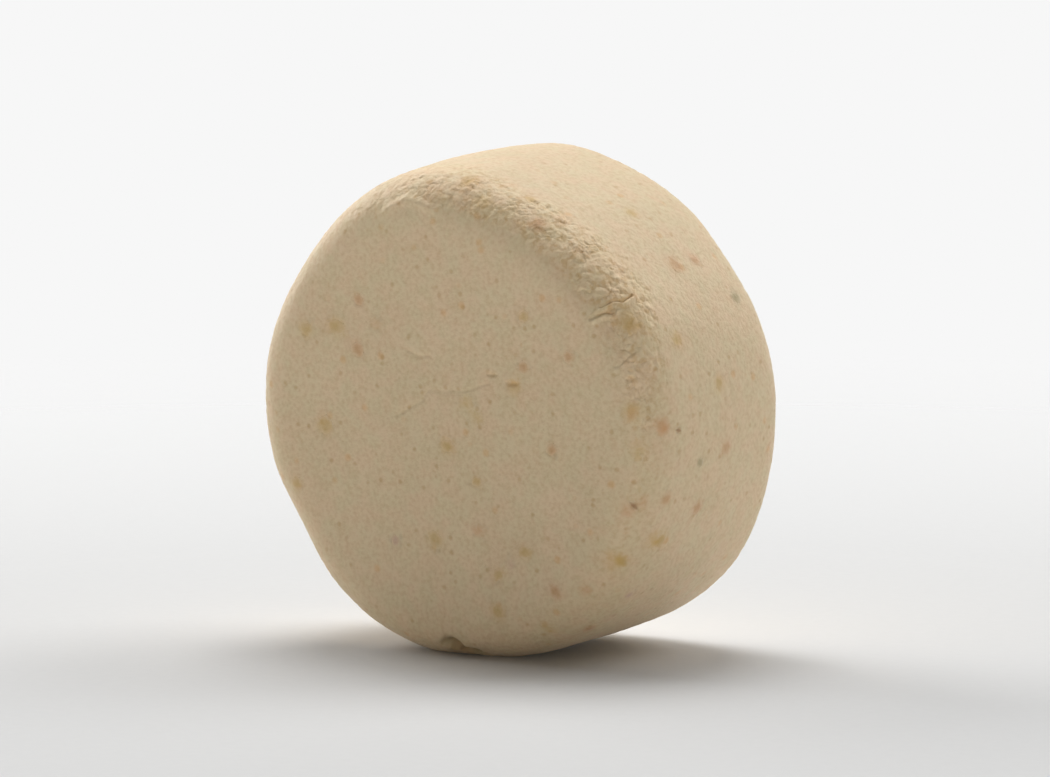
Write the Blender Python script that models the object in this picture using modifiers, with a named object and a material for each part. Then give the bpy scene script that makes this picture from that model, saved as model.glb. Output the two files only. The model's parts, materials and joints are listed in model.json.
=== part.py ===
"""Shaving soap puck: a hand-pressed puck of hard soap that stands on its rim.

The puck is one pressed body of soap with ground botanical flecks bedded in its surface.
Each fleck is its own solid, trimmed flush with the soap and seated in its own pocket.

Units are metres. The puck's axis lies along Y, tipped up a little at the back, and its
smooth front face looks along -Y. +Z is up, and the origin is on the floor under the
middle of the puck. Angles round the rim are counted in degrees from the top towards +X.
"""

import math
import random

import bmesh
import bpy
from mathutils import Matrix, Vector, noise
from mathutils.bvhtree import BVHTree

MM = 0.001

# The puck's driving dimensions
PUCK_RADIUS = 30.0 * MM
PUCK_THICKNESS = 30.0 * MM
WALL_BULGE = 0.9 * MM  # the middle of the wall stands out this far past its two ends
WALL_TAPER = 0.4 * MM  # the wall widens by this towards its back end, and narrows to its front
FRONT_EDGE = (5.5 * MM, 6.5 * MM)  # rounding of the front edge: across the face, along the wall
BACK_EDGE = (5.0 * MM, 5.0 * MM)  # the same for the back edge
LEAN = 5.0  # degrees that the puck leans forward: its back is higher than its front
REST_FLAT_DEPTH = 0.5 * MM  # how far the rim is pressed flat where it stands

# Hand pressing leaves the outline a little out of round. Each wave has a number of
# swells round the rim, a height in mm and the angle of one crest.
FRONT_WAVES = ((3, 0.2, 67), (4, 0.2, 66), (5, 0.4, 62))
BACK_WAVES = ((3, 0.45, 115), (4, 0.3, 45), (5, 0.3, 3))
# Marks of the hands right across the wall: the angle of the middle, how many degrees the
# mark reaches to either side, and its depth in mm, which is negative where the wall bulges.
HAND_MARKS = ((-56, 28, 0.4), (-118, 16, 0.4), (60, 28, 0.4), (-8, 24, -0.25))
DENT_HEIGHT = 0.15 * MM  # shallow dents all over the rim
DENT_SPACING = 9.0 * MM

# How finely the turned body is divided
TURN_STEPS = 72
EDGE_STEPS = 7
WALL_STEPS = 6
MERGE_DISTANCE = 0.01 * MM
SHARP_ANGLE = 35.0  # degrees, over which an edge isn't shaded smooth

# Flecks: every one is a flat chip of the length given below
SEAT_GAP = 0.25 * MM  # between a fleck and its pocket
FLECK_DEPTH_RATIO = 0.5  # depth in the soap over half the length
FLECK_ROUGHNESS = 0.16  # how far a chip departs from an ellipsoid
FLECK_LUMPS = 1.5  # how many lumps, roughly, a chip has from its middle to its end
FLECK_NOISE_REACH = 10.0  # how far apart in the noise two chips may be
FLECK_SEED = 11
FLECK_WIDTH_RATIO = {
    "ochre_fleck": 0.75,
    "rust_fleck": 0.8,
    "petal_fleck": 0.6,
    "leaf_fleck": 0.6,
    "stem_sliver": 0.25,
}

# Flecks of the front face: mm to the right of the axis, mm above it, length in mm
FRONT_FACE_FLECKS = {
    "ochre_fleck": (
        (-15.0, 11.0, 2.4), (-19.5, 10.5, 1.8), (-17.5, -1.0, 2.4), (-22.5, -8.5, 1.8),
        (0.5, -2.5, 1.9), (4.5, -6.5, 1.5), (-2.0, -14.0, 2.3), (11.0, -14.5, 2.0),
        (7.0, -17.5, 1.8), (12.5, 13.5, 1.5), (6.5, -22.0, 2.0),
    ),
    "rust_fleck": (
        (-12.0, 8.5, 2.0), (-11.5, 14.5, 1.5), (15.0, -19.0, 1.8), (15.5, -2.0, 1.6),
        (12.0, 7.5, 1.5), (18.5, 9.0, 1.6),
    ),
    "petal_fleck": ((-8.0, -14.5, 1.5),),
}

# Flecks of the rim: mm along the axis from mid thickness, angle round the rim, length in
# mm, and where the fleck lies a certain way, its turn in degrees from the rim's own run
RIM_FLECKS = {
    "ochre_fleck": (
        (0.5, 37, 1.8), (-11.5, 6, 2.2), (-10.0, 22, 1.6), (-12.5, 63, 2.8),
        (-6.5, 70, 2.2), (-13.0, 123, 1.8), (-9.0, 117, 2.4), (-0.5, 82, 2.0),
    ),
    "rust_fleck": (
        (0.5, 53, 2.6), (4.5, 53, 1.8), (-10.0, 106, 1.6), (-3.5, 110, 1.8),
        (0.5, 97, 2.0), (-11.0, 145, 1.6), (-12.5, 29, 2.0),
    ),
    "petal_fleck": ((-10.0, 132, 1.5),),
    "leaf_fleck": ((8.5, 64, 2.2), (-4.5, 99, 1.5)),
    "stem_sliver": ((-13.5, 108, 2.0, 58), (-9.0, 90, 1.6, 75)),
}

# Flecks of the two sides that the lists above leave bare follow a rule instead
SCATTER_SEED = 29
BACK_FACE_COUNT = 9
LEFT_RIM_COUNT = 9
SCATTER_KINDS = ("ochre_fleck", "rust_fleck", "ochre_fleck", "petal_fleck", "rust_fleck", "leaf_fleck")
SCATTER_LENGTHS = (1.5, 2.6)  # mm, shortest and longest
SCATTER_SPACING = 6.0 * MM
SCATTER_FACE_REACH = 23.0 * MM  # how far from the axis the back face's flecks go
LEFT_RIM_ANGLES = (205, 345)
LEFT_RIM_REACH = 9.0 * MM

# Colours are linear RGB
SOAP_COLOUR = (0.72, 0.59, 0.41)
SOAP_ROUGHNESS = 0.75
FLECK_COLOURS = {
    "ochre_fleck": (0.47, 0.31, 0.10),
    "rust_fleck": (0.50, 0.26, 0.12),
    "petal_fleck": (0.48, 0.25, 0.19),
    "leaf_fleck": (0.18, 0.17, 0.09),
    "stem_sliver": (0.20, 0.09, 0.05),
}
FLECK_SURFACE_ROUGHNESS = 0.6

HALF_THICKNESS = PUCK_THICKNESS / 2
AXIS_DIRECTION = Vector((0.0, 1.0, 0.0))
ACROSS_DIRECTION = Vector((1.0, 0.0, 0.0))
SQUARE_ENOUGH = 0.1  # a cross product shorter than this says that two directions are in line


def clear_scene():
    """Remove whatever the file held before."""
    for leftover in list(bpy.data.objects):
        bpy.data.objects.remove(leftover, do_unlink=True)


def add_collection(name, parent):
    """Make a collection under a parent collection."""
    collection = bpy.data.collections.new(name)
    parent.children.link(collection)
    return collection


def add_object(name, mesh, collection):
    """Make an object of a mesh in a collection."""
    thing = bpy.data.objects.new(name, mesh)
    collection.objects.link(thing)
    return thing


def make_cutter(thing):
    """Mark an object as a cutter, which is no piece of the puck."""
    thing.hide_render = True
    thing.display_type = "WIRE"


def add_material(name, colour, roughness):
    """Make a plain material."""
    material = bpy.data.materials.new(name)
    material.use_nodes = True
    shader = material.node_tree.nodes["Principled BSDF"]
    shader.inputs["Base Color"].default_value = (*colour, 1.0)
    shader.inputs["Roughness"].default_value = roughness
    shader.inputs["Metallic"].default_value = 0.0
    material.diffuse_color = (*colour, 1.0)
    return material


# ---------------------------------------------------------------- the soap body


def wall_radius(height):
    """Radius of the wall, at a height along the axis from mid thickness, front positive."""
    end = height / HALF_THICKNESS
    return PUCK_RADIUS - WALL_BULGE * end**2 - WALL_TAPER * end


def edge_points(edge, side):
    """Points of one rounded edge, from its face to the wall. Side is 1 in front, -1 behind."""
    across, along = edge
    wall_end = HALF_THICKNESS - along
    points = []
    for step in range(EDGE_STEPS + 1):
        turn = math.radians(90.0 * step / EDGE_STEPS)
        radius = wall_radius(side * wall_end) - across * (1.0 - math.sin(turn))
        points.append((radius, side * (wall_end + along * math.cos(turn))))
    return points


def puck_profile():
    """Half section of the puck as (radius, height), from the front's middle to the back's."""
    front = edge_points(FRONT_EDGE, 1)
    back = list(reversed(edge_points(BACK_EDGE, -1)))
    wall_top = front[-1][1]
    wall_bottom = back[0][1]
    wall = []
    for step in range(1, WALL_STEPS):
        height = wall_top + (wall_bottom - wall_top) * step / WALL_STEPS
        wall.append((wall_radius(height), height))
    return [(0.0, HALF_THICKNESS), *front, *wall, *back, (0.0, -HALF_THICKNESS)]


def wave_height(waves, angle):
    """Height of the out-of-round waves at an angle round the rim, in metres."""
    total = 0.0
    for swells, height, crest in waves:
        total += height * MM * math.cos(swells * (angle - math.radians(crest)))
    return total


def mark_depth(angle):
    """Depth of the hand marks at an angle round the rim, in metres."""
    total = 0.0
    for middle, reach, depth in HAND_MARKS:
        away = math.remainder(angle - math.radians(middle), 2.0 * math.pi) / math.radians(reach)
        if abs(away) < 1.0:
            total += depth * MM * math.cos(away * math.pi / 2) ** 2
    return total


def press(point):
    """Push a point of the turned puck in or out, to where hand pressing leaves it."""
    radius = math.hypot(point.x, point.z)
    if radius < MM:
        return point.copy()
    angle = math.atan2(point.x, point.z)
    backness = point.y / PUCK_THICKNESS + 0.5
    waves = wave_height(FRONT_WAVES, angle) * (1.0 - backness)
    waves += wave_height(BACK_WAVES, angle) * backness
    dents = DENT_HEIGHT * noise.noise(point / DENT_SPACING)
    scale = (radius + waves + dents - mark_depth(angle)) / radius
    return Vector((point.x * scale, point.y, point.z * scale))


def turned_puck(collection):
    """Turn the puck's profile about Z, and give back the round mesh."""
    profile = bpy.data.meshes.new("puck_profile")
    points = [(radius, 0.0, height) for radius, height in puck_profile()]
    links = [(index, index + 1) for index in range(len(points) - 1)]
    profile.from_pydata(points, links, [])
    blank = add_object("turned_puck", profile, collection)
    screw = blank.modifiers.new("turn", "SCREW")
    screw.axis = "Z"
    screw.angle = math.radians(360.0)
    screw.steps = TURN_STEPS
    screw.render_steps = TURN_STEPS
    screw.use_merge_vertices = True
    screw.merge_threshold = MERGE_DISTANCE
    depsgraph = bpy.context.evaluated_depsgraph_get()
    turned = bpy.data.meshes.new_from_object(blank.evaluated_get(depsgraph))
    bpy.data.objects.remove(blank, do_unlink=True)
    return turned


def pressed_puck(collection):
    """Make the puck's mesh in its own frame, before it gets its rest flat and pockets."""
    turned = turned_puck(collection)
    shape = bmesh.new()
    shape.from_mesh(turned)
    # The turning axis goes from Z to Y, with the front face towards -Y
    bmesh.ops.rotate(shape, verts=shape.verts, matrix=Matrix.Rotation(math.radians(90.0), 3, "X"))
    for vertex in shape.verts:
        vertex.co = press(vertex.co)
    bmesh.ops.recalc_face_normals(shape, faces=shape.faces)
    mesh = bpy.data.meshes.new("pressed_puck")
    shape.to_mesh(mesh)
    shape.free()
    bpy.data.meshes.remove(turned)
    return mesh


def add_stance(mesh, collection):
    """Make the empty that carries the puck: it leans, and the rest flat will be on the floor."""
    lean = Matrix.Rotation(math.radians(LEAN), 4, "X")
    corners = [lean @ vertex.co for vertex in mesh.vertices]
    low = Vector([min(corner[axis] for corner in corners) for axis in range(3)])
    high = Vector([max(corner[axis] for corner in corners) for axis in range(3)])
    middle = (low + high) / 2
    stance = add_object("puck_stance", None, collection)
    stance.matrix_world = Matrix.Translation((-middle.x, -middle.y, -low.z - REST_FLAT_DEPTH)) @ lean
    return stance


def carry(thing, stance, seat=None):
    """Hang an object on the puck's stance, at a seat given in the puck's own frame."""
    thing.parent = stance
    if seat is not None:
        thing.matrix_local = seat


def add_boolean(thing, name, operation):
    """Add an exact Boolean modifier."""
    cut = thing.modifiers.new(name, "BOOLEAN")
    cut.operation = operation
    cut.solver = "EXACT"
    return cut


def add_floor_cutter(collection):
    """Make the block that presses the rim flat: its top face is the floor."""
    bpy.ops.mesh.primitive_cube_add(size=1.0)
    block = bpy.context.active_object
    block.name = "floor_cutter"
    size = Vector((2 * PUCK_RADIUS, 2 * PUCK_THICKNESS, PUCK_RADIUS))
    block.data.transform(Matrix.Diagonal((*size, 1.0)))
    block.location = (0.0, 0.0, -size.z / 2)
    for owner in list(block.users_collection):
        owner.objects.unlink(block)
    collection.objects.link(block)
    make_cutter(block)
    return block


# ---------------------------------------------------------------- the flecks


def chip_mesh(name, half_size, offset, growth):
    """Make a rough chip: a lumpy ellipsoid, grown on all sides by a given distance."""
    shape = bmesh.new()
    bmesh.ops.create_icosphere(shape, subdivisions=2, radius=1.0)
    for vertex in shape.verts:
        direction = vertex.co.normalized()
        lump = 1.0 + FLECK_ROUGHNESS * noise.noise(direction * FLECK_LUMPS + offset)
        point = Vector([direction[axis] * half_size[axis] * lump for axis in range(3)])
        vertex.co = point + growth * point.normalized()
    mesh = bpy.data.meshes.new(name)
    shape.to_mesh(mesh)
    shape.free()
    return mesh


def seat_matrix(spot, outward, spin):
    """Frame of a fleck: its depth along the surface's normal, its length turned by spin."""
    across = outward.cross(AXIS_DIRECTION)
    if across.length < SQUARE_ENOUGH:
        across = outward.cross(ACROSS_DIRECTION)
    across.normalize()
    length_way = Matrix.Rotation(spin, 3, outward) @ across
    width_way = outward.cross(length_way)
    turn = Matrix((length_way, width_way, outward)).transposed()
    return Matrix.Translation(spot) @ turn.to_4x4()


def add_fleck(name, kind, length, seat, places):
    """Make one fleck and the cutter of its pocket."""
    half_size = length * MM / 2 * Vector((1.0, FLECK_WIDTH_RATIO[kind], FLECK_DEPTH_RATIO))
    offset = noise.random_unit_vector() * FLECK_NOISE_REACH
    fleck = add_object(name, chip_mesh(name, half_size, offset, 0.0), places["parts"])
    carry(fleck, places["stance"], seat)
    fleck.data.materials.append(places["materials"][kind])
    trim = add_boolean(fleck, "trim_flush", "INTERSECT")
    trim.object = places["blank"]
    pocket = add_object(
        f"pocket_of_{name}",
        chip_mesh(f"pocket_of_{name}", half_size, offset, SEAT_GAP),
        places["pockets"],
    )
    carry(pocket, places["stance"], seat)
    make_cutter(pocket)


def cast_on_face(surface, across, up, side):
    """Find the surface point in front of (side -1) or behind (side +1) a place on the face."""
    start = Vector((across, side * PUCK_THICKNESS, up))
    spot, outward, _index, _distance = surface.ray_cast(start, -side * AXIS_DIRECTION)
    return spot, outward


def cast_on_rim(surface, along, angle):
    """Find the surface point of the rim at a distance along the axis and an angle round it."""
    ray = Vector((math.sin(math.radians(angle)), 0.0, math.cos(math.radians(angle))))
    start = Vector((0.0, along, 0.0)) + 2 * PUCK_RADIUS * ray
    spot, outward, _index, _distance = surface.ray_cast(start, -ray)
    return spot, outward


def listed_flecks(surface):
    """Give every fleck of the two lists as (kind, length, spot, outward, turn or None)."""
    flecks = []
    for kind, rows in FRONT_FACE_FLECKS.items():
        for across, up, length in rows:
            flecks.append((kind, length, *cast_on_face(surface, across * MM, up * MM, -1), None))
    for kind, rows in RIM_FLECKS.items():
        for along, angle, length, *turn in rows:
            turned_by = math.radians(turn[0]) if turn else None
            flecks.append((kind, length, *cast_on_rim(surface, along * MM, angle), turned_by))
    return flecks


def scattered_flecks(surface):
    """Scatter flecks over the back face and the left of the rim, none close to another."""
    chance = random.Random(SCATTER_SEED)
    flecks = []

    def try_spot(spot, outward):
        if all((spot - other[2]).length > SCATTER_SPACING for other in flecks):
            kind = SCATTER_KINDS[len(flecks) % len(SCATTER_KINDS)]
            flecks.append((kind, chance.uniform(*SCATTER_LENGTHS), spot, outward, None))

    while len(flecks) < BACK_FACE_COUNT:
        reach = SCATTER_FACE_REACH * math.sqrt(chance.random())
        angle = chance.uniform(0.0, 2.0 * math.pi)
        across = reach * math.sin(angle)
        up = reach * math.cos(angle)
        try_spot(*cast_on_face(surface, across, up, 1))
    while len(flecks) < BACK_FACE_COUNT + LEFT_RIM_COUNT:
        along = chance.uniform(-LEFT_RIM_REACH, LEFT_RIM_REACH)
        try_spot(*cast_on_rim(surface, along, chance.uniform(*LEFT_RIM_ANGLES)))
    return flecks


def add_flecks(surface, places):
    """Make every fleck, numbered within its kind."""
    noise.seed_set(FLECK_SEED)
    chance = random.Random(FLECK_SEED)
    counts = dict.fromkeys(FLECK_COLOURS, 0)
    for kind, length, spot, outward, turn in listed_flecks(surface) + scattered_flecks(surface):
        counts[kind] += 1
        any_turn = chance.uniform(0.0, math.pi)
        seat = seat_matrix(spot, outward, any_turn if turn is None else turn)
        add_fleck(f"{kind}_{counts[kind]:02d}", kind, length, seat, places)


def main():
    """Build the puck."""
    clear_scene()
    scene_root = bpy.context.scene.collection
    parts = add_collection("shaving_soap_puck", scene_root)
    cutters = add_collection("cutters", scene_root)
    pockets = add_collection("pocket_cutters", cutters)

    mesh = pressed_puck(cutters)
    stance = add_stance(mesh, parts)
    blank = add_object("untrimmed_puck", mesh.copy(), cutters)
    carry(blank, stance)
    make_cutter(blank)
    shape = bmesh.new()
    shape.from_mesh(mesh)
    surface = BVHTree.FromBMesh(shape)
    shape.free()

    materials = {kind: add_material(kind, colour, FLECK_SURFACE_ROUGHNESS)
                 for kind, colour in FLECK_COLOURS.items()}
    places = {
        "parts": parts, "pockets": pockets, "stance": stance, "blank": blank, "materials": materials,
    }
    add_flecks(surface, places)

    body = add_object("soap_body", mesh, parts)
    carry(body, stance)
    body.data.materials.append(add_material("soap", SOAP_COLOUR, SOAP_ROUGHNESS))
    body.data.shade_smooth()
    body.data.set_sharp_from_angle(angle=math.radians(SHARP_ANGLE))
    add_boolean(body, "press_rest_flat", "DIFFERENCE").object = add_floor_cutter(cutters)
    pocket_cut = add_boolean(body, "cut_pockets", "DIFFERENCE")
    pocket_cut.operand_type = "COLLECTION"
    pocket_cut.collection = pockets


main()
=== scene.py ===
"""Looks of the shaving soap puck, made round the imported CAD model.

The soap body is rebuilt from the CAD body as one fine mesh with its real surface: a face
pressed smooth, a crumbly front edge, cracks, pits and a rough wall. Every fleck of the CAD
model is rebuilt as a chip that lies flush in that surface. The model and the shapes are in
metres, in the CAD's frame. The surface's features are placed in millimetres in the puck's
own frame, which the record's mounts give:

  across  to the right of the puck's axis, seen from the front
  along   along the axis from mid thickness, with the front face at minus half the thickness
  above   up from the axis, square to it

Angles round the rim are in degrees from the top towards the right.
"""

import json
import math

import bmesh
import bpy
import numpy as np
from mathutils import Matrix, Vector, noise
from mathutils.bvhtree import BVHTree


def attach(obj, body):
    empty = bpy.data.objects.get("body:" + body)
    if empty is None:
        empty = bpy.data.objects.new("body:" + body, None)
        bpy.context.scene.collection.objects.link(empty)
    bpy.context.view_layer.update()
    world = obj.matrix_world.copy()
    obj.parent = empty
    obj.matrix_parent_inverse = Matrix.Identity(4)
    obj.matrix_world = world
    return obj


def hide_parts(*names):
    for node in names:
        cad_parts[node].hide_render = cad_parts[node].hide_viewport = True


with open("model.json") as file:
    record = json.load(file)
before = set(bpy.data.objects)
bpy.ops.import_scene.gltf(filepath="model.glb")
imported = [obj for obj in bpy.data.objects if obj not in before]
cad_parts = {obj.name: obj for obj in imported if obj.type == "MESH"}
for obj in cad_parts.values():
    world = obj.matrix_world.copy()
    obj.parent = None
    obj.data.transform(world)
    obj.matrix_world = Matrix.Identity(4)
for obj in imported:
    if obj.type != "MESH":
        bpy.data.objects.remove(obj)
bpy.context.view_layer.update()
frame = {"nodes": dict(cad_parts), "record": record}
NODES = frame["nodes"]
RECORD = frame["record"]

MM = 0.001  # metres in a millimetre, the unit of every size in the lists below
UP = Vector((0.0, 0.0, 1.0))

# ---------------------------------------------------------------- design values

# The fine mesh of the soap body
COARSE_CELL = 0.86 * MM  # the first, coarse remesh
HALVINGS = 2  # how often its cells are then halved
SMOOTHING_ROUNDS = 14
FINE_PLACES = 0.05  # where the soap is more crumbly than this, the cells are halved again
SMOOTHING_STEPS = (0.5, -0.52)  # a shrinking and a growing step, so the body keeps its size
BODY_TRIANGLES = 190_000

# Noise is given by the size of its swells in mm and by its place in the noise, which is
# another for each use. These are the slow swells that hand pressing leaves, the marks of
# kneading and the grain: size, place, height in mm on the faces, and on the wall.
SURFACE_WAVES = (
    (11.0, 0.0, 0.050, 0.160),
    (4.0, 7.0, 0.014, 0.050),
    (0.8, 17.0, 0.012, 0.045),
)
WALL_RADII = (24.0, 28.0)  # the face's relief turns into the wall's this far from the axis

# The front edge: the face's skin ends in a line, and a crumbly band runs on to the wall.
# Rows of the skin: angle round the rim, and the distance from the axis where the skin ends.
# Rows of the band: angle round the rim, along where the band ends, how crumbly it is.
FACE_SKIN_RADIUS = 26.2  # where the skin ends on most of the rim, and at the back
SKIN_ROWS = (
    (-180, 26.2), (-60, 26.2), (-25, 25.8), (-17, 26.0), (-9, 26.8), (-4, 26.4), (1, 25.6), (10, 25.2),
    (28, 25.4), (44, 25.6), (56, 26.1), (69, 26.8), (90, 26.4), (180, 26.2),
)
SKIN_FADE = (-0.7, 0.9)  # the band starts over this stretch outwards from the skin's end
BAND_FADE = 1.5
BAND_WANDER = 0.8  # how far the band's borders wander, in mm
BORDER_NOISE = (3.0, 5.0)  # size and place of the noise that they follow
BAND_ROWS = (
    (-180, -13.0, 0.15), (-60, -12.0, 0.15), (-32, -9.0, 0.25), (-10, -6.2, 0.55),
    (8, -8.0, 0.80), (20, -9.2, 0.95), (41, -8.3, 1.00), (58, -7.9, 1.00), (72, -9.7, 0.75),
    (87, -11.0, 0.50), (105, -12.0, 0.30), (130, -13.0, 0.20), (180, -13.0, 0.15),
)
SKIN_STEP = 0.05  # how far the crumbly band lies under the face's skin

# The back edge crumbles a little too, in patches
BACK_BAND_START = 12.0
BACK_BAND_FADE = 1.0
BACK_SKIN_FADE = 0.5
BACK_SKIN_WANDER = 0.5
BACK_BAND = 0.30
BACK_PATCH_NOISE = (7.0, 9.0)
BACK_PATCH_LEVELS = (-0.3, 0.4)  # the noise's levels outside and inside a patch

# Crumbs: each is a rounded lump with a level of its own and a groove round it
CRUMBS = ((1.15, 0.17), (0.55, 0.10))  # size and height in mm
LEAST_CRUMBLE = 0.01  # the soap has no crumbs where it is less crumbly than this
CRUMB_BEND = 0.3  # how far the crumbs are bent out of shape, over their size
CRUMB_BEND_SIZE = 1.1
CRUMB_BEND_PLACES = (1.0, 21.0, 41.0)
CRUMB_STEP = 0.7  # share of the height that comes from a crumb's own level
CRUMB_ROUND = 0.9  # share that comes from its rounded top
CRUMB_ROUND_LEVEL = 0.3  # of the top over the surface
CRUMB_GROOVE = 0.25  # depth of the groove over the height
CRUMB_GROOVE_WIDTH = 0.3
CRUMB_PATCH_NOISE = (2.6, 61.0)
CRUMB_PATCH_LEVELS = (-0.3, 0.3)
SPARSE_CRUMBS = 0.4  # height of the crumbs between their patches, over that in them
CELL_LOTS = (7.31, 3.17, 5.73)  # numbers that give every cell of noise a lot of its own

# The raised flake at the top of the front edge
LIP_WIDTH = 0.55
LIP_HEIGHT = 0.36
LIP_ANGLES = (-20, -13, -2, 5)  # starts, full, full, ends
LIP_WANDER = 0.3
LIP_NOISE = (2.5, 13.0)

# Cracks: points (across, above) on the face, or (angle, along) on the rim, then width, depth
FACE_CRACKS = (
    (((-4.7, 8.7), (-3.2, 8.1), (-1.4, 8.2)), 0.20, 0.17),
    (((-6.7, 0.8), (-2.8, 2.8), (-2.1, 4.0), (3.7, 4.3), (7.1, 5.4)), 0.18, 0.14),
)
RIM_CRACKS = (
    (((56.8, -14.0), (56.9, -12.9), (58.0, -12.0), (57.4, -10.5)), 0.15, 0.27),
    (((57.9, -14.8), (58.4, -14.1), (59.4, -13.4)), 0.14, 0.22),
    (((72.0, -14.6), (71.0, -14.0), (70.1, -13.2)), 0.14, 0.07),
)
RIM_CRACK_RADII = (25.0, 25.8)  # the rim's cracks start and are full this far from the axis
CRACK_LIP = 0.9  # height of the raised soap beside a crack of the rim, over the crack's depth
CRACK_LIP_FULL = (1.5, 2.0)  # where it is highest, in widths from the crack
CRACK_LIP_REACH = 0.8
CRACK_WANDER = 0.12
CRACK_WANDER_SIZE = 0.9
CRACK_WANDER_PLACES = (3.0, 33.0)

# Pits of the front face: across, above, half length, half width, depth
FACE_PITS = ((7.5, 6.4, 0.8, 0.35, 0.30), (10.3, 5.5, 1.0, 0.35, 0.40))
# Pits of the rim: angle, along, half length round the rim, half width along it, depth
RIM_PITS = (
    (75.7, -14.0, 0.4, 0.3, 0.30), (182.5, -13.8, 1.6, 0.8, 0.90),
    (178.5, -12.9, 1.6, 0.7, 1.00), (175.5, -12.1, 1.2, 0.6, 0.70),
)
PIT_SLOPE = (0.3, 1.2)  # where a pit's slope starts and ends, over its half sizes
RIM_PIT_RADIUS = 20.0  # the rim's pits leave the faces alone, nearer to the axis than this

# Camera, from where the picture was taken
VIEW_AZIMUTH = 35.1
VIEW_ELEVATION = 5.2
VIEW_DISTANCE = 600 * MM
VIEW_AIM = (1.08 * MM, 1.88 * MM)  # aims this far to the right of the puck's centre, and above
LENS = 170.9
SENSOR_WIDTH = 36.0
CLIP_START = 0.01
CLIP_END = 20.0

# Floor, room and light. The room's brightness changes with the height of the direction.
FLOOR_COLOUR = (0.675, 0.675, 0.67)
FLOOR_GRAIN_TINT = (0.985, 0.985, 0.985)
FLOOR_ROUGHNESS = 0.7
FLOOR_SPECULAR = 0.1
FLOOR_RADIUS = 1.5
FLOOR_SIDES = 96
FLOOR_FADE = (0.10, 0.42)  # the floor is whole nearer than this, and gone further than this
ROOM_LOW = (0.93, 0.93, 0.93)
ROOM_HIGH = (0.07, 0.07, 0.07)
ROOM_FADE = (0.10, 0.30)
# Soft boxes: size, how far to the right of the puck, behind it and above it in metres, and
# power in watts
SOFT_BOXES = (
    (0.7, 0.0, 0.38, 1.15, 9.2),
    (1.6, 0.0, 0.80, 1.00, 3.2),
    (0.8, -0.8, 0.80, 0.60, 8.0),
    (0.8, 0.9, 0.50, 0.90, 6.0),
)

# Flecks: each kind stains the soap that covers it and lies round it. For each kind, the
# stain's linear RGB, how strong it is in the middle, and its radius over the fleck's.
FLECK_LOOKS = {
    "ochre_fleck": ((0.70, 0.45, 0.15), 0.50, 1.5),
    "rust_fleck": ((0.70, 0.36, 0.16), 0.50, 1.4),
    "petal_fleck": ((0.70, 0.42, 0.32), 0.45, 1.3),
    "leaf_fleck": ((0.46, 0.355, 0.18), 0.55, 1.3),
    "stem_sliver": ((0.44, 0.23, 0.10), 0.72, 1.1),
}
FLECK_BRIGHTNESS = 0.8  # of the fleck itself over its stain
FLECK_CORE = 0.3  # its own colour is full within this share of it, and gone at its outline
FLECK_RAGGED = 0.22  # how far a fleck's outline departs from an oval
FLECK_BAYS = 0.9  # size of the bays in the outline, over the fleck's half size
FLECK_NICKS = 0.3  # size of the nicks in the outline
FLECK_NICK_DEPTH = 0.5  # over a bay's
FLECK_NEARBY = 2.0  # places further from a fleck than this many half lengths are far off
FAR_OFF = 9.0
FLECK_DOME = 0.025  # how far a fleck's middle stands out of the soap, in mm
FLECK_SUBDIVISIONS = 4
FLECK_MARGIN = 1.2  # the mesh is finer within this many times a fleck's reach
SEAT_DEPTH = 0.22
SEAT_SHARE = 0.68  # size of the seat in the soap over the fleck's
STAIN_RAGGED = 0.35
STAIN_BAY_NOISE = (1.1, 51.0)
STAIN_NICK_NOISE = (0.5, 52.0)
STAIN_NICK_DEPTH = 0.6
STAIN_END = 1.25  # where a stain has faded out, over its size
STRONGEST_STAIN = 0.9
LEAST_STAIN = 1e-6

# Textures: the size of their swells in mm, their detail and roughness, and the two levels
# between which they count
MOTTLES = (2.6, 3.0, 0.5, 0.35, 0.65)
CLOUDS = (9.0, 2.0, 0.5, 0.30, 0.70)
GRAINS = (0.5, 2.0, 0.5, 0.30, 0.60)
# Painted shade: darker patches in the crumbly band that stand in for shade in the crevices between crumbs;
# they are laid by this noise, not by the relief
PAINTED_SHADE_PATCHES = (0.8, 2.0, 0.5, 0.48, 0.62)
GLOSS_PATCHES = (1.2, 2.0, 0.5, 0.30, 0.70)
VEINS = (0.6, 3.0, 0.7, 0.30, 0.70)
FLOOR_GRAINS = (1.5, 2.0, 0.5, 0.30, 0.70)
# Specks: mm from one to the next, radius in mm, and the share of them that is there
DARK_SPECKS = (1.7, 0.42, 0.6)
ORANGE_SPECKS = (2.9, 0.65, 0.5)
SPECK_CORE = 0.4  # a speck is full within this share of its radius
SPECK_LOT_FADE = 0.15

# Gloss and fine relief of the soap
SOAP_ROUGHNESS = (0.52, 0.68)
SOAP_SPECULAR = 0.35
SOAP_SHEEN = 0.12
SHEEN_ROUGHNESS = 0.5
BUMP_NOISE = (0.5, 3.0, 0.6)  # size in mm, detail and roughness
BUMP_HEIGHT = 0.12
BUMP_STRENGTHS = (0.6, 1.0)  # on the faces and on the wall
VEIN_SHARES = (0.2, 1.0)  # how much of a fleck's colour shows between its veins and in them

# Colours of the soap, and what its mottles, grains and specks multiply them by
SOAP_PINKISH = (0.845, 0.645, 0.42)
SOAP_YELLOWISH = (0.81, 0.66, 0.42)
CLOUD_TINT = (0.97, 0.96, 0.95)
GRAIN_TINT = (0.915, 0.87, 0.80)
SPECK_TINT = (0.88, 0.81, 0.71)
ORANGE_TINT = (0.98, 0.87, 0.74)
CRUMB_TINT = (1.06, 1.05, 1.04)
# painted shade for the crevices of the crumbly band, not a colour of the soap
PAINTED_CREVICE_SHADE_TINT = (0.95, 0.87, 0.76)

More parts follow.
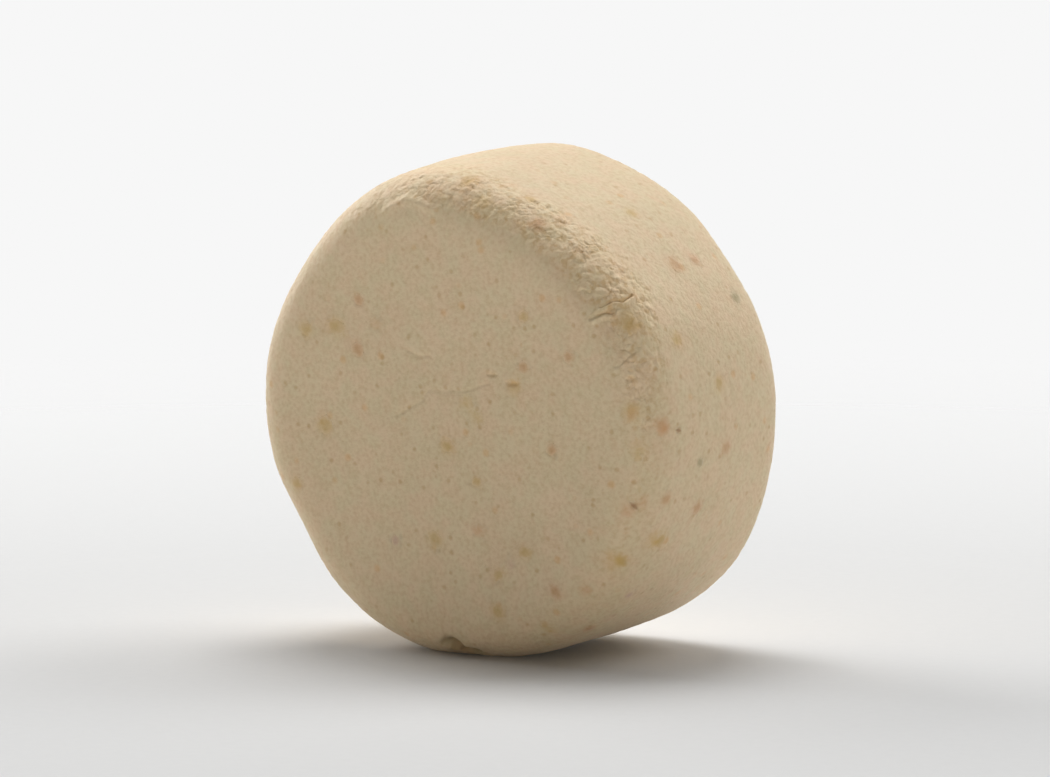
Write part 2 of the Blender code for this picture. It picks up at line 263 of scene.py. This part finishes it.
# Stains with no fleck in them: kind, then across and above on the face, and its radius
FACE_STAINS = (
    ("rust_fleck", 4.3, -12.4, 1.0), ("rust_fleck", -9.2, 11.7, 1.0), ("ochre_fleck", 3.4, 2.9, 1.2),
    ("ochre_fleck", 5.1, 1.1, 1.0), ("petal_fleck", 8.9, -16.1, 0.9), ("ochre_fleck", 10.6, 5.1, 1.3),
)
# and on the rim: kind, then the angle round it and along, and its radius. The stem and leaf stains from
# 176.5 to 183 degrees are painted shade in the pits at the foot of the front edge, by the floor.
RIM_STAINS = (
    ("rust_fleck", 110.0, -14.1, 0.9), ("rust_fleck", 89.0, -11.0, 1.0), ("rust_fleck", 84.5, -14.4, 0.9),
    ("rust_fleck", 135.0, -14.6, 1.0), ("rust_fleck", 56.0, -6.2, 0.9), ("ochre_fleck", 13.6, -13.6, 1.6),
    # painted shade: the dark stem and leaf stains at 176.5 to 183 degrees sit in the pits at the foot,
    # where shade falls
    ("ochre_fleck", 151.5, -13.9, 1.1), ("stem_sliver", 180.5, -13.3, 2.0),
    ("leaf_fleck", 183.0, -13.9, 2.0), ("leaf_fleck", 180.0, -13.2, 2.2),
    ("leaf_fleck", 176.5, -12.4, 2.0), ("rust_fleck", 109.0, -14.5, 1.2),
    ("rust_fleck", 107.0, -13.1, 1.1), ("ochre_fleck", 123.5, -13.9, 1.7),
    ("ochre_fleck", 116.5, -10.1, 1.4), ("ochre_fleck", 83.5, -14.4, 1.5),
    ("rust_fleck", 88.0, -11.4, 1.2), ("ochre_fleck", 93.5, -14.1, 1.3),
)
EDGE_ROUNDING = 2.5  # how far outside the end of the skin the wall lies

# Sockets of a Mix node that mixes colours
MIX_FACTOR = 0
MIX_UNDER = 6
MIX_OVER = 7
MIX_RESULT = 2


# ---------------------------------------------------------------- the puck's own frame


def mount(name):
    """Point and direction of one of the record's mounts, in metres."""
    for entry in RECORD["mounts"]:
        if entry["name"] == name:
            return Vector(entry["pos_m"]), Vector(entry["axis"])
    raise KeyError(name)


def own_frame():
    """Matrix from the CAD's frame to the puck's own frame, both in metres."""
    front, _ = mount("front_face")
    back, axis = mount("back_face")
    across = Vector((1.0, 0.0, 0.0))
    turn = Matrix((across, axis, across.cross(axis)))
    return turn.to_4x4() @ Matrix.Translation(-(front + back) / 2)


TO_OWN = own_frame()


def in_own_frame(points):
    """Points of the CAD's frame (n x 3) as across, along and above, in millimetres."""
    values = np.array(TO_OWN)
    return (points @ values[:3, :3].T + values[:3, 3]) / MM


def rim_place(own):
    """Angle round the rim in degrees, and distance from the axis."""
    angle = np.degrees(np.arctan2(own[:, 0], own[:, 2]))
    return angle, np.hypot(own[:, 0], own[:, 2])


# ---------------------------------------------------------------- numbers for many points


def ramp(values, start, end):
    """Smooth steps from 0 at the start to 1 at the end, which may be the smaller number."""
    part = np.clip((values - start) / (end - start), 0.0, 1.0)
    return part * part * (3.0 - 2.0 * part)


def wave_noise(points, size, place):
    """Smooth noise from about -1 to 1, with swells of a size in mm, at a place in the noise."""
    return np.array([noise.noise(row) for row in (points / size + place).tolist()])


def cell_noise(points):
    """For every point: its cell's lot from 0 to 1, the offset from its cell's middle
    (n x 3), and how far it is from the cell's border."""
    levels = np.empty(len(points))
    offsets = np.empty((len(points), 3))
    borders = np.empty(len(points))
    for index, row in enumerate(points.tolist()):
        distances, middles = noise.voronoi(row)
        middle = middles[0]
        levels[index] = sum(part * lot for part, lot in zip(middle, CELL_LOTS)) % 1.0
        offsets[index] = (row[0] - middle.x, row[1] - middle.y, row[2] - middle.z)
        borders[index] = distances[1] - distances[0]
    return levels, offsets, borders


def distance_to_line(places, line):
    """Distance of flat places (n x 2) from a line through some points, and whether each
    place lies further in the first direction than the line does."""
    best = np.full(len(places), np.inf)
    beyond = np.zeros(len(places), dtype=bool)
    for start, end in zip(line[:-1], line[1:]):
        start = np.array(start)
        run = np.array(end) - start
        part = np.clip((places - start) @ run / (run @ run), 0.0, 1.0)
        gap = places - start - part[:, None] * run
        distance = np.hypot(gap[:, 0], gap[:, 1])
        nearer = distance < best
        best[nearer] = distance[nearer]
        beyond[nearer] = gap[nearer, 0] > 0.0
    return best, beyond


# ---------------------------------------------------------------- the soap's relief


def wallness(own):
    """0 on the two faces and 1 on the wall."""
    _, radius = rim_place(own)
    return ramp(radius, *WALL_RADII)


def skin_radius(angle):
    """Distance from the axis where the face's skin ends, at angles round the rim."""
    angles, radii = np.array(SKIN_ROWS, dtype=float).T
    return np.interp(angle, angles, radii)


def band_limits(angle):
    """Where the crumbly band ends along the wall, and how crumbly it is, at angles."""
    angles, ends, strengths = np.array(BAND_ROWS, dtype=float).T
    return np.interp(angle, angles, ends), np.interp(angle, angles, strengths)


def crumble(own):
    """How crumbly the surface is, from 0 to 1, in the front band and at the back edge."""
    angle, radius = rim_place(own)
    along = own[:, 1]
    wander = wave_noise(own, *BORDER_NOISE)
    ends, strengths = band_limits(angle)
    in_band = ramp(radius - skin_radius(angle) + BAND_WANDER * wander, *SKIN_FADE)
    in_band *= 1.0 - ramp(along + BAND_WANDER * wander, ends - BAND_FADE, ends + BAND_FADE)
    at_back = ramp(along + wander, BACK_BAND_START - BACK_BAND_FADE, BACK_BAND_START + BACK_BAND_FADE)
    outwards = radius - FACE_SKIN_RADIUS + BACK_SKIN_WANDER * wander
    at_back *= ramp(outwards, -BACK_SKIN_FADE, BACK_SKIN_FADE)
    patches = ramp(wave_noise(own, *BACK_PATCH_NOISE), *BACK_PATCH_LEVELS)
    return np.maximum(in_band * strengths, at_back * BACK_BAND * patches)


def crumb_relief(own, amount):
    """Height of the crumbs, only where the soap is crumbly."""
    height = np.zeros(len(own))
    chosen = amount > LEAST_CRUMBLE
    places = own[chosen]
    bends = [wave_noise(places, CRUMB_BEND_SIZE, place) for place in CRUMB_BEND_PLACES]
    bend = CRUMB_BEND * np.stack(bends, axis=1)
    for size, rise in CRUMBS:
        levels, offsets, gaps = cell_noise(places / size + bend + size)
        rounding = CRUMB_ROUND_LEVEL - (offsets ** 2).sum(axis=1)
        groove = ramp(gaps, CRUMB_GROOVE_WIDTH, 0.0)
        lump = CRUMB_STEP * (levels - 0.5) + CRUMB_ROUND * rounding - CRUMB_GROOVE * groove
        height[chosen] += rise * lump
    in_patch = ramp(wave_noise(places, *CRUMB_PATCH_NOISE), *CRUMB_PATCH_LEVELS)
    height[chosen] *= SPARSE_CRUMBS + (1.0 - SPARSE_CRUMBS) * in_patch
    return height * amount


def crack_relief(own):
    """Depth of the cracks, with the soap raised beside those on the rim."""
    angle, radius = rim_place(own)
    bends = [wave_noise(own, CRACK_WANDER_SIZE, place) for place in CRACK_WANDER_PLACES]
    bend = CRACK_WANDER * np.stack(bends, axis=1)
    face_places = own[:, [0, 2]] + bend
    rim_places = np.stack([np.radians(angle) * FACE_SKIN_RADIUS, own[:, 1]], axis=1) + bend
    front = own[:, 1] < 0.0
    on_rim = ramp(radius, *RIM_CRACK_RADII)
    rising, falling = CRACK_LIP_FULL
    height = np.zeros(len(own))
    for line, width, depth in FACE_CRACKS:
        gap, _ = distance_to_line(face_places, line)
        height -= depth * np.exp(-((gap / width) ** 2)) * front
    for line, width, depth in RIM_CRACKS:
        run = [(math.radians(turn) * FACE_SKIN_RADIUS, along) for turn, along in line]
        gap, further_round = distance_to_line(rim_places, run)
        height -= depth * np.exp(-((gap / width) ** 2)) * on_rim
        raised = ramp(gap, 0.0, rising * width) * ramp(gap, CRACK_LIP_REACH, falling * width)
        height += CRACK_LIP * depth * raised * further_round * on_rim
    return height


def pit_relief(own):
    """Depth of the listed pits."""
    angle, radius = rim_place(own)
    height = np.zeros(len(own))
    front = own[:, 1] < 0.0
    for across, above, half_length, half_width, depth in FACE_PITS:
        reach = np.hypot((own[:, 0] - across) / half_length, (own[:, 2] - above) / half_width)
        height -= depth * (1.0 - ramp(reach, *PIT_SLOPE)) * front
    for turn, along, half_length, half_width, depth in RIM_PITS:
        away = (angle - turn + 180.0) % 360.0 - 180.0
        reach = np.hypot(np.radians(away) * radius / half_length, (own[:, 1] - along) / half_width)
        height -= depth * (1.0 - ramp(reach, *PIT_SLOPE)) * (radius > RIM_PIT_RADIUS)
    return height


def lip_relief(own):
    """Height of the raised flake at the top of the front edge."""
    angle, radius = rim_place(own)
    start, full, still, end = LIP_ANGLES
    length = ramp(angle, start, full) * (1.0 - ramp(angle, still, end))
    offset = radius - skin_radius(angle) + LIP_WANDER * wave_noise(own, *LIP_NOISE)
    return LIP_HEIGHT * length * np.exp(-((offset / LIP_WIDTH) ** 2)) * (own[:, 1] < 0.0)


def relief(own, amount):
    """Height of the soap's real surface over the smooth body in mm, where it is that crumbly."""
    wall = wallness(own)
    height = np.zeros(len(own))
    for size, place, on_faces, on_wall in SURFACE_WAVES:
        height += (on_faces + (on_wall - on_faces) * wall) * wave_noise(own, size, place)
    height -= SKIN_STEP * amount
    height += crumb_relief(own, amount)
    height += lip_relief(own)
    height += crack_relief(own)
    height += pit_relief(own)
    return height


def real_surface(points, normals):
    """Points of the smooth body moved to the soap's real surface, and how crumbly it is."""
    own = in_own_frame(points)
    amount = crumble(own)
    moved = points + normals * (relief(own, amount) * MM)[:, None]
    moved[:, 2] = np.maximum(moved[:, 2], 0.0)
    return moved, amount


# ---------------------------------------------------------------- mesh helpers


def show(name, mesh):
    """Make an object of a mesh in the scene."""
    thing = bpy.data.objects.new(name, mesh)
    bpy.context.scene.collection.objects.link(thing)
    return thing


def evaluated_mesh(thing, name):
    """The object's mesh with its modifiers applied."""
    depsgraph = bpy.context.evaluated_depsgraph_get()
    mesh = bpy.data.meshes.new_from_object(thing.evaluated_get(depsgraph))
    mesh.name = name
    return mesh


def points_of(mesh):
    """The mesh's points as an array (n x 3)."""
    flat = np.empty(len(mesh.vertices) * 3, dtype=np.float32)
    mesh.vertices.foreach_get("co", flat)
    return flat.reshape(-1, 3).astype(float)


def normals_of(mesh):
    """The normals at the mesh's points as an array (n x 3)."""
    flat = np.empty(len(mesh.vertices) * 3, dtype=np.float32)
    mesh.vertex_normals.foreach_get("vector", flat)
    return flat.reshape(-1, 3).astype(float)


def move_points(mesh, points):
    """Put the mesh's points in new places."""
    mesh.vertices.foreach_set("co", points.astype(np.float32).ravel())
    mesh.update()


def store(mesh, name, values):
    """Keep one number for every point of the mesh, for the materials."""
    layer = mesh.attributes.new(name, "FLOAT", "POINT")
    layer.data.foreach_set("value", values.astype(np.float32))


def smoothed(mesh, rounds):
    """The mesh's points after some rounds of smoothing that keep its size."""
    points = points_of(mesh)
    edges = np.empty(len(mesh.edges) * 2, dtype=np.int32)
    mesh.edges.foreach_get("vertices", edges)
    ones = edges[0::2]
    others = edges[1::2]
    counts = np.bincount(edges, minlength=len(points))
    for _ in range(rounds):
        for step in SMOOTHING_STEPS:
            sums = np.stack([
                np.bincount(ones, points[others, axis], len(points))
                + np.bincount(others, points[ones, axis], len(points))
                for axis in range(3)
            ], axis=1)
            points += step * (sums / counts[:, None] - points)
    return points


# ---------------------------------------------------------------- the soap body


def hull_mesh(node):
    """The convex hull of a CAD node, which closes its pockets."""
    shape = bmesh.new()
    for vertex in node.data.vertices:
        shape.verts.new(vertex.co)
    hull = bmesh.ops.convex_hull(shape, input=shape.verts)
    inner = [item for item in hull["geom_interior"] if isinstance(item, bmesh.types.BMVert)]
    bmesh.ops.delete(shape, geom=inner, context="VERTS")
    mesh = bpy.data.meshes.new("hull")
    shape.to_mesh(mesh)
    shape.free()
    return mesh


def halve_cells(mesh, chosen):
    """Halve the cells between the chosen points once more."""
    shape = bmesh.new()
    shape.from_mesh(mesh)
    edges = [edge for edge in shape.edges if chosen[edge.verts[0].index] and chosen[edge.verts[1].index]]
    bmesh.ops.subdivide_edges(shape, edges=edges, cuts=1, use_grid_fill=True)
    shape.to_mesh(mesh)
    shape.free()


def smooth_body(fleck_spots):
    """A fine smooth mesh of the CAD body, without its pockets and facets."""
    body = show("smooth_body", hull_mesh(NODES["soap_body"]))
    remesh = body.modifiers.new("even_cells", "REMESH")
    remesh.mode = "VOXEL"
    remesh.voxel_size = COARSE_CELL
    body.data = evaluated_mesh(body, "coarse_body")
    body.modifiers.clear()
    move_points(body.data, smoothed(body.data, SMOOTHING_ROUNDS))
    halving = body.modifiers.new("fine_cells", "SUBSURF")
    halving.levels = HALVINGS
    halving.render_levels = HALVINGS
    fine = evaluated_mesh(body, "smooth_body")
    bpy.data.objects.remove(body, do_unlink=True)
    points = points_of(fine)
    near_fleck = np.zeros(len(points), dtype=bool)
    for spot, reach in fleck_spots:
        near_fleck |= ((points - spot) ** 2).sum(axis=1) < reach ** 2
    halve_cells(fine, near_fleck | (crumble(in_own_frame(points)) > FINE_PLACES))
    return fine


def thin_out(thing, triangles):
    """Merge the points of flat places until about that many triangles are left."""
    count = sum(len(polygon.vertices) - 2 for polygon in thing.data.polygons)
    thinner = thing.modifiers.new("thin_out", "DECIMATE")
    thinner.ratio = min(1.0, triangles / count)
    thing.data = evaluated_mesh(thing, thing.name)
    thing.modifiers.clear()


def make_soap_body(smooth, flecks, stains):
    """Make the soap body with its real surface, and a seat in it for every fleck."""
    base = points_of(smooth)
    normals = normals_of(smooth)
    points, amount = real_surface(base, normals)
    depth = np.zeros(len(base))
    for fleck in flecks:
        depth = np.maximum(depth, SEAT_DEPTH * (fleck.reach(base) < SEAT_SHARE))
    points -= normals * (depth * MM)[:, None]
    points[:, 2] = np.maximum(points[:, 2], 0.0)
    mesh = smooth.copy()
    move_points(mesh, points)
    store_looks(mesh, in_own_frame(base), amount, stains)
    body = show("soap_surface", mesh)
    thin_out(body, BODY_TRIANGLES)
    body.data.shade_smooth()
    body.data.materials.clear()
    body.data.materials.append(soap_material("soap"))
    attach(body, "root")
    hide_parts("soap_body")


# ---------------------------------------------------------------- flecks and stains


def fleck_places():
    """The middle of every fleck of the CAD model, and how far round it the mesh is finer."""
    places = []
    for name, node in NODES.items():
        if name != "soap_body":
            points = points_of(node.data)
            middle = points.mean(axis=0)
            furthest = np.sqrt(((points - middle) ** 2).sum(axis=1).max())
            places.append((middle, FLECK_MARGIN * furthest))
    return places


class Fleck:
    """Where a fleck of the CAD model lies: its middle, its three ways and its half sizes."""

    def __init__(self, name, surface):
        self.name = name
        self.kind = name.rsplit("_", 1)[0]
        points = points_of(NODES[name].data)
        spot, outward, _, _ = surface.find_nearest(Vector(points.mean(axis=0)))
        self.spot = np.array(spot)
        self.outward = np.array(outward)
        away = points - self.spot
        flat = away - np.outer(away @ self.outward, self.outward)
        _, ways = np.linalg.eigh(flat.T @ flat)
        self.length_way = ways[:, 2]
        self.width_way = np.cross(self.outward, self.length_way)
        self.half_length = np.abs(flat @ self.length_way).max()
        self.half_width = np.abs(flat @ self.width_way).max()
        self.depth = -(away @ self.outward).min()
        self.noise_place = float(sum(map(ord, name)))

    def outline(self, angle):
        """How far out the fleck's ragged outline is at some angles, 1 on its oval."""
        ring = np.stack([np.cos(angle), np.sin(angle), np.zeros(len(angle))], axis=1)
        bays = wave_noise(ring, FLECK_BAYS, self.noise_place)
        nicks = wave_noise(ring, FLECK_NICKS, self.noise_place)
        return 1.0 + FLECK_RAGGED * (bays + FLECK_NICK_DEPTH * nicks)

    def reach(self, points):
        """How far points are from the fleck's middle: 1 on its outline, FAR_OFF far away."""
        away = points - self.spot
        result = np.full(len(points), FAR_OFF)
        near = (away ** 2).sum(axis=1) < (FLECK_NEARBY * self.half_length) ** 2
        across = away[near] @ self.length_way / self.half_length
        up = away[near] @ self.width_way / self.half_width
        result[near] = np.hypot(across, up) / self.outline(np.arctan2(up, across))
        return result


def chip_mesh(fleck, surface):
    """A fleck's chip over the smooth body: its points, normals, heights in mm, and faces."""
    shape = bmesh.new()
    bmesh.ops.create_icosphere(shape, subdivisions=FLECK_SUBDIVISIONS, radius=1.0)
    ball = np.array([vertex.co[:] for vertex in shape.verts])
    faces = [[vertex.index for vertex in face.verts] for face in shape.faces]
    shape.free()
    size = fleck.outline(np.arctan2(ball[:, 1], ball[:, 0]))[:, None]
    plan = fleck.spot + size * (
        ball[:, :1] * fleck.half_length * fleck.length_way
        + ball[:, 1:2] * fleck.half_width * fleck.width_way
    )
    found = [surface.find_nearest(Vector(place)) for place in plan]
    base = np.array([hit[0][:] for hit in found])
    normals = np.array([hit[1][:] for hit in found])
    up = ball[:, 2]
    heights = np.where(up > 0.0, FLECK_DOME * up, up * fleck.depth / MM)
    return base, normals, heights, faces


def make_flecks(flecks, surface, stains):
    """Make every fleck as a chip that lies flush in the soap."""
    materials = {kind: fleck_material(kind) for kind in FLECK_LOOKS}
    for fleck in flecks:
        base, normals, heights, faces = chip_mesh(fleck, surface)
        points, amount = real_surface(base, normals)
        points += normals * (heights * MM)[:, None]
        mesh = bpy.data.meshes.new(f"{fleck.name}_chip")
        mesh.from_pydata(points.tolist(), [], faces)
        mesh.shade_smooth()
        store_looks(mesh, in_own_frame(base), amount, stains)
        store(mesh, "core", 1.0 - ramp(fleck.reach(base), FLECK_CORE, 1.0))
        mesh.materials.append(materials[fleck.kind])
        chip = show(f"{fleck.name}_chip", mesh)
        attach(chip, "root")
        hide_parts(fleck.name)


def all_stains(flecks):
    """Every stain as (kind, place in the own frame in mm, radius in mm)."""
    stains = []
    for fleck in flecks:
        place = in_own_frame(fleck.spot[None])[0]
        size = math.sqrt(fleck.half_length * fleck.half_width) / MM
        stains.append((fleck.kind, place, size * FLECK_LOOKS[fleck.kind][2]))
    half_thickness = -in_own_frame(np.array(mount("front_face")[0])[None])[0][1]
    for kind, across, above, size in FACE_STAINS:
        stains.append((kind, np.array((across, -half_thickness, above)), size))
    for kind, angle, along, size in RIM_STAINS:
        turn = math.radians(angle)
        out = FACE_SKIN_RADIUS + min(EDGE_ROUNDING, along + half_thickness)
        stains.append((kind, np.array((out * math.sin(turn), along, out * math.cos(turn))), size))
    return stains


def store_looks(mesh, own, amount, stains):
    """Keep with the mesh's points how crumbly the soap is, and the colour of its stains."""
    nicks = STAIN_NICK_DEPTH * wave_noise(own, *STAIN_NICK_NOISE)
    ragged = STAIN_RAGGED * (wave_noise(own, *STAIN_BAY_NOISE) + nicks)
    total = np.zeros(len(own))
    colour = np.zeros((len(own), 3))
    for kind, place, size in stains:
        stain, strength, _ = FLECK_LOOKS[kind]
        reach = np.sqrt(((own - place) ** 2).sum(axis=1)) / size + ragged
        share = strength * (1.0 - ramp(reach, 0.0, STAIN_END))
        total += share
        colour += share[:, None] * np.array(stain)
    colour /= np.maximum(total, LEAST_STAIN)[:, None]
    store(mesh, "crumb", amount)
    store(mesh, "wall", wallness(own))
    store(mesh, "stain", np.minimum(total, STRONGEST_STAIN))
    layer = mesh.attributes.new("stain_colour", "FLOAT_COLOR", "POINT")
    layer.data.foreach_set("color", np.c_[colour, np.ones(len(own))].astype(np.float32).ravel())


# ---------------------------------------------------------------- materials


def add_node(tree, kind, **settings):
    """Add a shader node of a kind, with its settings."""
    node = tree.nodes.new(kind)
    for name, value in settings.items():
        setattr(node, name, value)
    return node


def noise_texture(tree, place, size, detail, roughness):
    """Noise from 0 to 1 with swells about that many millimetres apart."""
    texture = add_node(tree, "ShaderNodeTexNoise")
    texture.inputs["Scale"].default_value = 1.0 / (size * MM)
    texture.inputs["Detail"].default_value = detail
    texture.inputs["Roughness"].default_value = roughness
    tree.links.new(place, texture.inputs["Vector"])
    return texture.outputs["Fac"]


def map_range(tree, value, low, high, to_low=0.0, to_high=1.0):
    """A value stretched from one range to another, and kept in it."""
    node = add_node(tree, "ShaderNodeMapRange", clamp=True)
    node.inputs["From Min"].default_value = low
    node.inputs["From Max"].default_value = high
    node.inputs["To Min"].default_value = to_low
    node.inputs["To Max"].default_value = to_high
    tree.links.new(value, node.inputs["Value"])
    return node.outputs["Result"]


def texture_range(tree, place, texture, to_low=0.0, to_high=1.0):
    """One of the textures listed above, as a value between two numbers."""
    size, detail, roughness, low, high = texture
    return map_range(tree, noise_texture(tree, place, size, detail, roughness), low, high, to_low, to_high)


def mix_colour(tree, factor, under, over, blend="MIX"):
    """A colour over another. The factor and the colours may be sockets, a colour a linear RGB."""
    node = add_node(tree, "ShaderNodeMix", data_type="RGBA", blend_type=blend)
    for value, number in ((factor, MIX_FACTOR), (under, MIX_UNDER), (over, MIX_OVER)):
        if isinstance(value, bpy.types.NodeSocket):
            tree.links.new(value, node.inputs[number])
        elif isinstance(value, tuple):
            node.inputs[number].default_value = (*value, 1.0)
        else:
            node.inputs[number].default_value = value
    return node.outputs[MIX_RESULT]


def multiplied(tree, one, other):
    """The product of two values."""
    node = add_node(tree, "ShaderNodeMath", operation="MULTIPLY")
    tree.links.new(one, node.inputs[0])
    tree.links.new(other, node.inputs[1])
    return node.outputs["Value"]


def attribute(tree, name):
    """A number kept with the mesh's points."""
    node = add_node(tree, "ShaderNodeAttribute", attribute_name=name)
    return node.outputs["Fac"]


def tinted(tree, colour, tint):
    """A colour multiplied by a tint."""
    return mix_colour(tree, 1.0, colour, tint, "MULTIPLY")


def specks(tree, place, spacing, radius, share):
    """Small round specks, in a share of the cells of noise that lie that far apart in mm."""
    cells = add_node(tree, "ShaderNodeTexVoronoi")
    cells.inputs["Scale"].default_value = 1.0 / (spacing * MM)
    tree.links.new(place, cells.inputs["Vector"])
    dot = map_range(tree, cells.outputs["Distance"], radius / spacing, SPECK_CORE * radius / spacing)
    lot = add_node(tree, "ShaderNodeSeparateColor")
    tree.links.new(cells.outputs["Color"], lot.inputs["Color"])
    chosen = map_range(tree, lot.outputs["Red"], share, share - SPECK_LOT_FADE)
    return multiplied(tree, dot, chosen)


def soap_colour(tree, place):
    """Colour of the soap: mottled, grained, finely speckled, with painted shade in the crumbly band, and
    stained by its flecks and by stains of painted shade at the foot of the front edge.
    """
    colour = mix_colour(tree, texture_range(tree, place, MOTTLES), SOAP_PINKISH, SOAP_YELLOWISH)
    for texture, tint in ((CLOUDS, CLOUD_TINT), (GRAINS, GRAIN_TINT)):
        share = texture_range(tree, place, texture)
        colour = mix_colour(tree, share, tinted(tree, colour, tint), colour)
    for layout, tint in ((DARK_SPECKS, SPECK_TINT), (ORANGE_SPECKS, ORANGE_TINT)):
        share = specks(tree, place, *layout)
        colour = mix_colour(tree, share, colour, tinted(tree, colour, tint))
    # painted shade: the crumbly band is darkened where this noise is high, as if in crevices
    painted_shade_share = texture_range(tree, place, PAINTED_SHADE_PATCHES)
    crumbs = mix_colour(tree, painted_shade_share, tinted(tree, colour, CRUMB_TINT), tinted(tree, colour, PAINTED_CREVICE_SHADE_TINT))
    colour = mix_colour(tree, attribute(tree, "crumb"), colour, crumbs)
    stain = add_node(tree, "ShaderNodeAttribute", attribute_name="stain_colour")
    return mix_colour(tree, attribute(tree, "stain"), colour, stain.outputs["Color"])


def soap_shader(name):
    """A material with the soap's fine relief and gloss. Gives it, its tree, shader and place."""
    material = bpy.data.materials.new(name)
    material.use_nodes = True
    tree = material.node_tree
    shader = tree.nodes["Principled BSDF"]
    place = add_node(tree, "ShaderNodeTexCoord").outputs["Object"]
    roughness = texture_range(tree, place, GLOSS_PATCHES, *SOAP_ROUGHNESS)
    tree.links.new(roughness, shader.inputs["Roughness"])
    shader.inputs["Specular IOR Level"].default_value = SOAP_SPECULAR
    shader.inputs["Sheen Weight"].default_value = SOAP_SHEEN
    shader.inputs["Sheen Roughness"].default_value = SHEEN_ROUGHNESS
    fine = add_node(tree, "ShaderNodeBump")
    fine.inputs["Distance"].default_value = BUMP_HEIGHT * MM
    strength = map_range(tree, attribute(tree, "wall"), 0.0, 1.0, *BUMP_STRENGTHS)
    tree.links.new(strength, fine.inputs["Strength"])
    tree.links.new(noise_texture(tree, place, *BUMP_NOISE), fine.inputs["Height"])
    tree.links.new(fine.outputs["Normal"], shader.inputs["Normal"])
    return material, tree, shader, place


def soap_material(name):
    """The soap's material."""
    material, tree, shader, place = soap_shader(name)
    tree.links.new(soap_colour(tree, place), shader.inputs["Base Color"])
    return material


def fleck_material(kind):
    """The material of one kind of fleck: soap that thins out over the fleck's own colour."""
    material, tree, shader, place = soap_shader(kind)
    stain, strength, _ = FLECK_LOOKS[kind]
    veins = texture_range(tree, place, VEINS, *VEIN_SHARES)
    core = multiplied(tree, veins, attribute(tree, "core"))
    share = map_range(tree, core, 0.0, 1.0, 0.0, strength)
    dark = tuple(FLECK_BRIGHTNESS * part for part in stain)
    colour = mix_colour(tree, share, soap_colour(tree, place), dark)
    tree.links.new(colour, shader.inputs["Base Color"])
    return material


# ---------------------------------------------------------------- camera, floor and light


def level_ways():
    """The two level directions of the camera's view: to its right and away from it."""
    azimuth = math.radians(VIEW_AZIMUTH)
    away = Vector((-math.sin(azimuth), math.cos(azimuth), 0.0))
    return away.cross(UP), away


def add_camera():
    """Put the camera where the picture was taken from, aimed past the middle of the puck."""
    elevation = math.radians(VIEW_ELEVATION)
    right, away = level_ways()
    back = -math.cos(elevation) * away + math.sin(elevation) * UP
    above = back.cross(right)
    data = bpy.data.cameras.new("camera")
    data.lens = LENS
    data.sensor_width = SENSOR_WIDTH
    data.clip_start = CLIP_START
    data.clip_end = CLIP_END
    camera = bpy.data.objects.new("camera", data)
    turn = Matrix((right, above, back)).transposed().to_4x4()
    centre = TO_OWN.inverted().translation
    spot = centre + VIEW_DISTANCE * back + VIEW_AIM[0] * right + VIEW_AIM[1] * above
    camera.matrix_world = Matrix.Translation(spot) @ turn
    bpy.context.scene.collection.objects.link(camera)
    bpy.context.scene.camera = camera


def add_floor():
    """Make a pale round floor, which fades into the pale room far from the puck."""
    mesh = bpy.data.meshes.new("floor")
    shape = bmesh.new()
    bmesh.ops.create_circle(shape, cap_ends=True, segments=FLOOR_SIDES, radius=FLOOR_RADIUS)
    shape.to_mesh(mesh)
    shape.free()
    floor = show("floor", mesh)
    material = bpy.data.materials.new("floor")
    material.use_nodes = True
    tree = material.node_tree
    shader = tree.nodes["Principled BSDF"]
    place = add_node(tree, "ShaderNodeTexCoord").outputs["Object"]
    grain = texture_range(tree, place, FLOOR_GRAINS)
    colour = mix_colour(tree, grain, tinted(tree, FLOOR_COLOUR, FLOOR_GRAIN_TINT), FLOOR_COLOUR)
    tree.links.new(colour, shader.inputs["Base Color"])
    shader.inputs["Roughness"].default_value = FLOOR_ROUGHNESS
    shader.inputs["Specular IOR Level"].default_value = FLOOR_SPECULAR
    distance = add_node(tree, "ShaderNodeVectorMath", operation="LENGTH")
    tree.links.new(place, distance.inputs[0])
    fade = map_range(tree, distance.outputs["Value"], *FLOOR_FADE)
    clear = add_node(tree, "ShaderNodeBsdfTransparent")
    blend = add_node(tree, "ShaderNodeMixShader")
    tree.links.new(fade, blend.inputs["Fac"])
    tree.links.new(shader.outputs["BSDF"], blend.inputs[1])
    tree.links.new(clear.outputs["BSDF"], blend.inputs[2])
    tree.links.new(blend.outputs["Shader"], tree.nodes["Material Output"].inputs["Surface"])
    mesh.materials.append(material)


def add_room():
    """Make the pale room: bright low down all round, and dimmer towards the ceiling."""
    world = bpy.data.worlds.new("room")
    world.use_nodes = True
    tree = world.node_tree
    direction = add_node(tree, "ShaderNodeTexCoord").outputs["Generated"]
    parts = add_node(tree, "ShaderNodeSeparateXYZ")
    tree.links.new(direction, parts.inputs["Vector"])
    height = map_range(tree, parts.outputs["Z"], *ROOM_FADE)
    colour = mix_colour(tree, height, ROOM_LOW, ROOM_HIGH)
    tree.links.new(colour, tree.nodes["Background"].inputs["Color"])
    bpy.context.scene.world = world


def add_soft_boxes():
    """Light the puck with soft boxes overhead and behind it."""
    right, away = level_ways()
    for size, sideways, behind, height, power in SOFT_BOXES:
        data = bpy.data.lights.new("soft_box", "AREA")
        data.size = size
        data.energy = power
        light = bpy.data.objects.new("soft_box", data)
        light.location = sideways * right + behind * away + height * UP
        light.rotation_euler = light.location.to_track_quat("Z", "Y").to_euler()
        bpy.context.scene.collection.objects.link(light)


def main():
    """Build the scene."""
    bpy.context.scene.view_settings.view_transform = "Standard"
    add_camera()
    add_floor()
    add_room()
    add_soft_boxes()
    smooth = smooth_body(fleck_places())
    shape = bmesh.new()
    shape.from_mesh(smooth)
    surface = BVHTree.FromBMesh(shape)
    shape.free()
    flecks = [Fleck(name, surface) for name in sorted(NODES) if name != "soap_body"]
    stains = all_stains(flecks)
    make_soap_body(smooth, flecks, stains)
    make_flecks(flecks, surface, stains)


main()
